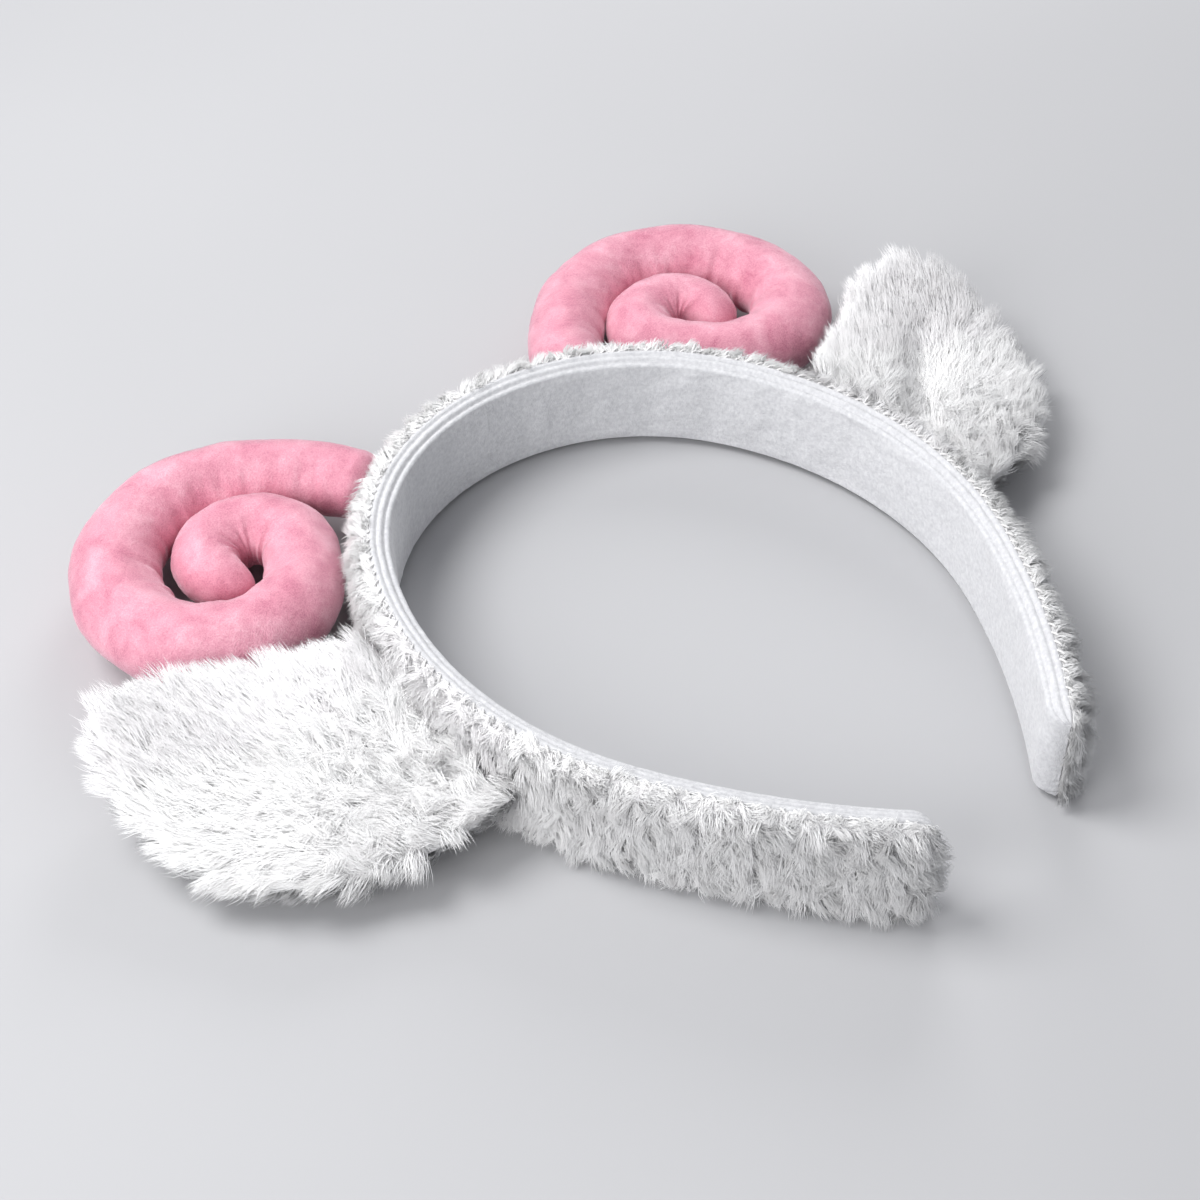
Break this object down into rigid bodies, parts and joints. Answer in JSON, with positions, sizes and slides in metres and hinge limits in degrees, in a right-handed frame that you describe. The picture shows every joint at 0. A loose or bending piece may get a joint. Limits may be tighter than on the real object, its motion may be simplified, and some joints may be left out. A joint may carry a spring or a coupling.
{
  "type": "animal ears headband",
  "caption": "Plush costume headband: a springy furry hoop open at the tips, with rolled velvet ram horns and floppy fur ears sewn to its sides.",
  "frame": {"origin": "centre of the arc that the hoop makes over the crown, on the band's mid-plane", "axes": "+X towards the wearer's left ear, +Y up to the crown, +Z forward; the band lies on its rear rim, which faces -Z"},
  "size_m": [0.2392, 0.1904, 0.024],
  "materials": {
    "plastic_strip": "satin",
    "foam": "matte",
    "lining_plush": "short plush",
    "white_fur": "long pile fur",
    "short_plush": "short plush",
    "thread": "matte",
    "clear_glue": "translucent",
    "pink_velvet": "crushed velvet",
    "stuffing": "matte"
  },
  "bodies": {
    "crown": {"hoop_strip_crown": "plastic_strip", "foam_sleeve_crown": "foam", "lining_crown": "lining_plush", "fur_cover_crown": "white_fur", "seam_thread_crown": "thread"},
    "arm_left": {"hoop_strip_left": "plastic_strip", "foam_sleeve_left": "foam", "lining_left": "lining_plush", "fur_cover_left": "white_fur", "seam_thread_left": "thread", "horn_glue_left": "clear_glue", "ear_stitches_left": "thread"},
    "horn_left": {"horn_velvet_left": "pink_velvet", "horn_stuffing_left": "stuffing", "horn_tacks_left": "thread"},
    "ear_left": {"ear_front_left": "white_fur", "ear_batting_left": "stuffing", "ear_back_left": "short_plush", "ear_root_left": "white_fur"},
    "arm_right": {"hoop_strip_right": "plastic_strip", "foam_sleeve_right": "foam", "lining_right": "lining_plush", "fur_cover_right": "white_fur", "seam_thread_right": "thread", "horn_glue_right": "clear_glue", "ear_stitches_right": "thread"},
    "horn_right": {"horn_velvet_right": "pink_velvet", "horn_stuffing_right": "stuffing", "horn_tacks_right": "thread"},
    "ear_right": {"ear_front_right": "white_fur", "ear_batting_right": "stuffing", "ear_back_right": "short_plush", "ear_root_right": "white_fur"}
  },
  "joints": [
    {"name": "arm_flex_left", "type": "hinge", "parent": "crown", "child": "arm_left", "pos_m": [0.01571, 0.05479, 0], "axis": [0, 0, 1], "range_deg": [-4, 14], "stiffness_Nm_per_rad": 1.2},
    {"name": "horn_tilt_left", "type": "hinge", "parent": "arm_left", "child": "horn_left", "pos_m": [0.02856, 0.05615, 0], "axis": [0.8913, -0.4534, 0], "range_deg": [-12, 12], "stiffness_Nm_per_rad": 0.4},
    {"name": "ear_flap_left", "type": "hinge", "parent": "arm_left", "child": "ear_left", "pos_m": [0.07, -0.012, 0], "axis": [0, -0.9903, -0.1392], "range_deg": [-15, 35], "stiffness_Nm_per_rad": 0.15},
    {"name": "arm_flex_right", "type": "hinge", "parent": "crown", "child": "arm_right", "pos_m": [-0.01571, 0.05479, 0], "axis": [0, 0, -1], "range_deg": [-4, 14], "stiffness_Nm_per_rad": 1.2},
    {"name": "horn_tilt_right", "type": "hinge", "parent": "arm_right", "child": "horn_right", "pos_m": [-0.02856, 0.05615, 0], "axis": [-0.8913, -0.4534, 0], "range_deg": [-12, 12], "stiffness_Nm_per_rad": 0.4},
    {"name": "ear_flap_right", "type": "hinge", "parent": "arm_right", "child": "ear_right", "pos_m": [-0.07, -0.012, 0], "axis": [0, 0.9903, 0.1392], "range_deg": [-15, 35], "stiffness_Nm_per_rad": 0.15}
  ]
}
